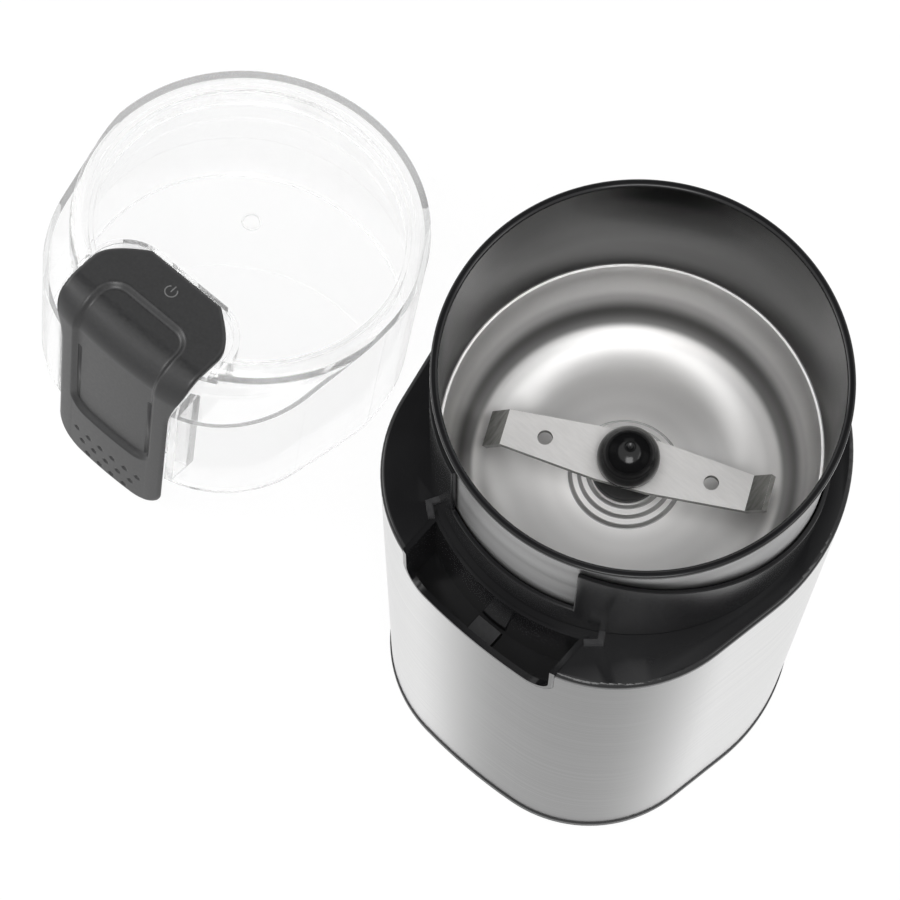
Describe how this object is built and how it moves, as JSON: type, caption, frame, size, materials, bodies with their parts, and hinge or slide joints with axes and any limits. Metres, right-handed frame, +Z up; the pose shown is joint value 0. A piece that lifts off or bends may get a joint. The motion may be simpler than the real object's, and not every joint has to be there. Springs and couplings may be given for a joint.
{
  "type": "electric spice grinder",
  "caption": "Blade grinder with a brushed steel body, a lift-out steel cup, a clear lid and a black press plate.",
  "frame": {"origin": "on the cup's axis, in the plane of the feet's undersides", "axes": "+Z up along the cup's axis, -Y towards the pocket and press plate, +Y towards the mains inlet"},
  "size_m": [0.2205, 0.109, 0.1805],
  "materials": {
    "shell_steel": "fine brushed stainless steel, grain running round the body",
    "cup_steel": "drawn and polished stainless steel",
    "blade_steel": "satin stamped stainless steel",
    "gloss_black": "glossy black moulding",
    "satin_black": "satin black moulding",
    "plate_black": "satin black moulding with a smooth sunk panel",
    "clear_plastic": "clear polished moulding",
    "black_rubber": "matt black rubber",
    "plated_steel": "bright plated steel",
    "spring_steel": "bright spring wire",
    "grey_nylon": "pale grey filled nylon",
    "motor_iron": "stacked motor iron",
    "enamelled_wire": "enamelled copper wire",
    "brass_parts": "plain brass and bronze",
    "carbon": "pressed carbon"
  },
  "bodies": {
    "base": {"steel_shell": "shell_steel", "top_deck": "gloss_black", "cup_collar": "gloss_black", "well_liner": "satin_black", "pocket_liner": "gloss_black", "bottom_cover": "satin_black", "cover_screws": "plated_steel", "cord_gland": "black_rubber", "plunger_spring": "spring_steel", "switch_bracket": "grey_nylon", "micro_switch": "satin_black", "lower_bracket": "grey_nylon", "upper_bracket": "grey_nylon", "bracket_screws": "plated_steel", "stator_bolts": "plated_steel", "stator_core": "motor_iron", "field_coil_front": "enamelled_wire", "field_coil_back": "enamelled_wire", "brush_holder_left": "brass_parts", "brush_holder_right": "brass_parts", "carbon_brush_left": "carbon", "carbon_brush_right": "carbon", "lower_bearing": "plated_steel", "upper_bearing": "plated_steel", "foot_1": "black_rubber", "foot_2": "black_rubber", "foot_3": "black_rubber", "foot_4": "black_rubber"},
    "rotor": {"motor_shaft": "plated_steel", "armature_core": "motor_iron", "armature_winding_upper": "enamelled_wire", "armature_winding_lower": "enamelled_wire", "commutator": "brass_parts", "cooling_fan": "grey_nylon", "drive_coupling": "satin_black"},
    "cup": {"steel_cup": "cup_steel", "cup_base": "satin_black", "shaft_bushing": "brass_parts", "shaft_seal": "black_rubber"},
    "blade_set": {"blade": "blade_steel", "blade_shaft": "plated_steel", "blade_spacer": "plated_steel", "hub_washer": "plated_steel", "hub_cap": "gloss_black", "driven_coupling": "satin_black"},
    "lid": {"lid_shell": "clear_plastic", "return_spring_left": "spring_steel", "return_spring_right": "spring_steel"},
    "press_plate": {"press_plate": "plate_black"},
    "plunger": {"interlock_plunger": "satin_black"},
    "button": {"switch_button": "grey_nylon"}
  },
  "joints": [
    {"name": "lid_lift", "type": "slide", "parent": "base", "child": "lid", "axis": [0, 0, 1], "range_m": [0, 0.15]},
    {"name": "plate_press", "type": "slide", "parent": "lid", "child": "press_plate", "axis": [0, -0.1949, -0.9808], "range_m": [0, 0.003], "stiffness_N_per_m": 400, "springref_m": -0.004, "deforming": ["return_spring_left", "return_spring_right"]},
    {"name": "cup_lift", "type": "slide", "parent": "base", "child": "cup", "axis": [0, 0, 1], "range_m": [0, 0.12]},
    {"name": "rotor_spin", "type": "hinge", "parent": "base", "child": "rotor", "pos_m": [0, 0, 0.059], "axis": [0, 0, 1], "continuous": true},
    {"name": "blade_spin", "type": "hinge", "parent": "cup", "child": "blade_set", "pos_m": [0, 0, 0.125], "axis": [0, 0, 1], "continuous": true},
    {"name": "plunger_press", "type": "slide", "parent": "base", "child": "plunger", "axis": [0, 0, -1], "range_m": [0, 0.0014], "stiffness_N_per_m": 300, "springref_m": -0.002, "deforming": ["plunger_spring"]},
    {"name": "button_press", "type": "slide", "parent": "base", "child": "button", "axis": [0, 0, -1], "range_m": [0, 0.0014]}
  ],
  "couplings": [
    {"joint": "blade_spin", "follows": "rotor_spin", "ratio": 1},
    {"joint": "button_press", "follows": "plunger_press", "ratio": 1}
  ]
}
